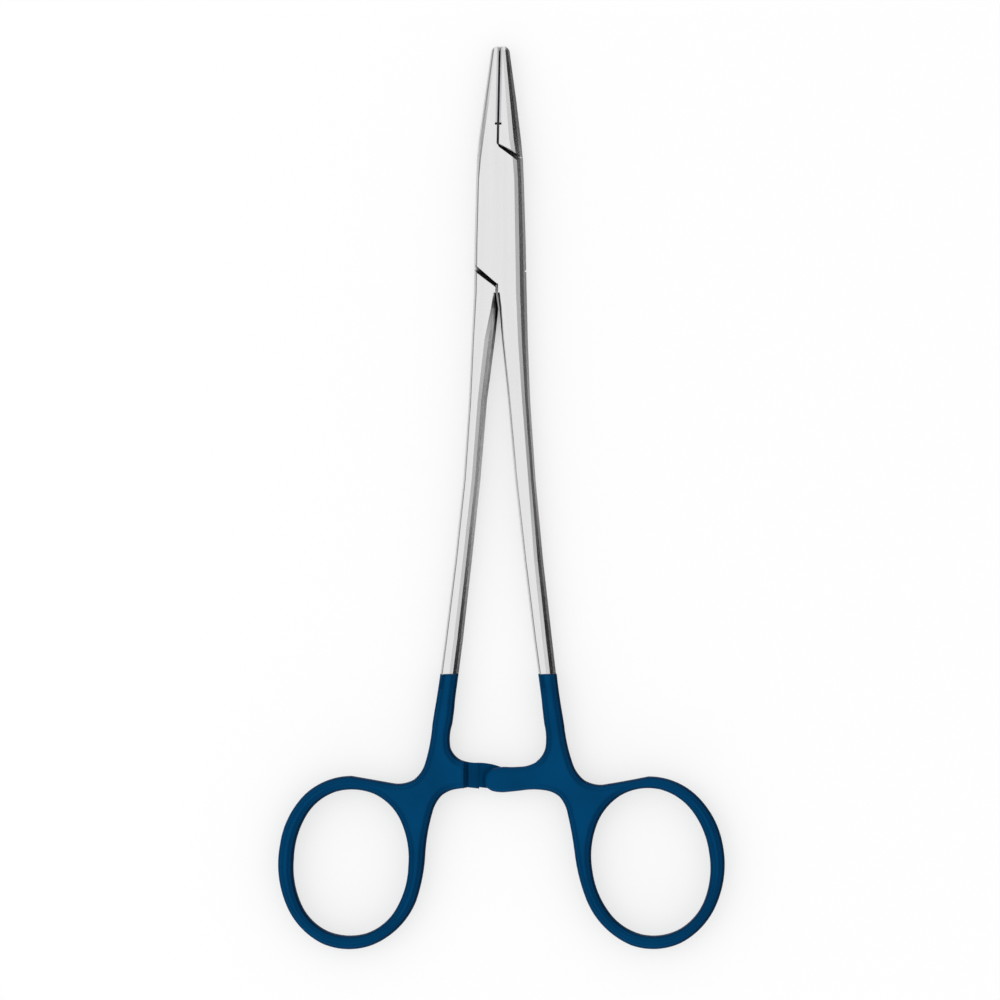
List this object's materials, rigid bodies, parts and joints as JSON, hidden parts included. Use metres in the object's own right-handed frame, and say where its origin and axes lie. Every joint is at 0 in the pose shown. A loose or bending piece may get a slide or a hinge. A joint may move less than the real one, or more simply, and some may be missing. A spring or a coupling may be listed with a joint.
{
  "type": "surgical needle holder",
  "caption": "Straight ring-handled needle holder with a box lock, ratchet arms, hard-metal jaw inserts and coated finger rings.",
  "frame": {"origin": "on the pivot axis of the box lock, at the back face of the box that it lies on", "axes": "+X to the right seen from the front, +Y toward the jaw tips, +Z out of the front face"},
  "size_m": [0.0791, 0.1598, 0.0056],
  "materials": {
    "steel": "satin, brushed lengthwise",
    "hard_metal": "ground",
    "coat": "smooth dip coat"
  },
  "bodies": {
    "box_arm": {"box_half": "steel", "joint_pin": "steel", "jaw_insert_left": "hard_metal", "coating_right": "coat"},
    "tenon_arm": {"tenon_half": "steel", "jaw_insert_right": "hard_metal", "coating_left": "coat"}
  },
  "joints": [
    {"name": "box_lock", "type": "hinge", "parent": "box_arm", "child": "tenon_arm", "pos_m": [0, 0, 0.0028], "axis": [0, 0, -1], "range_deg": [0, 40]}
  ]
}
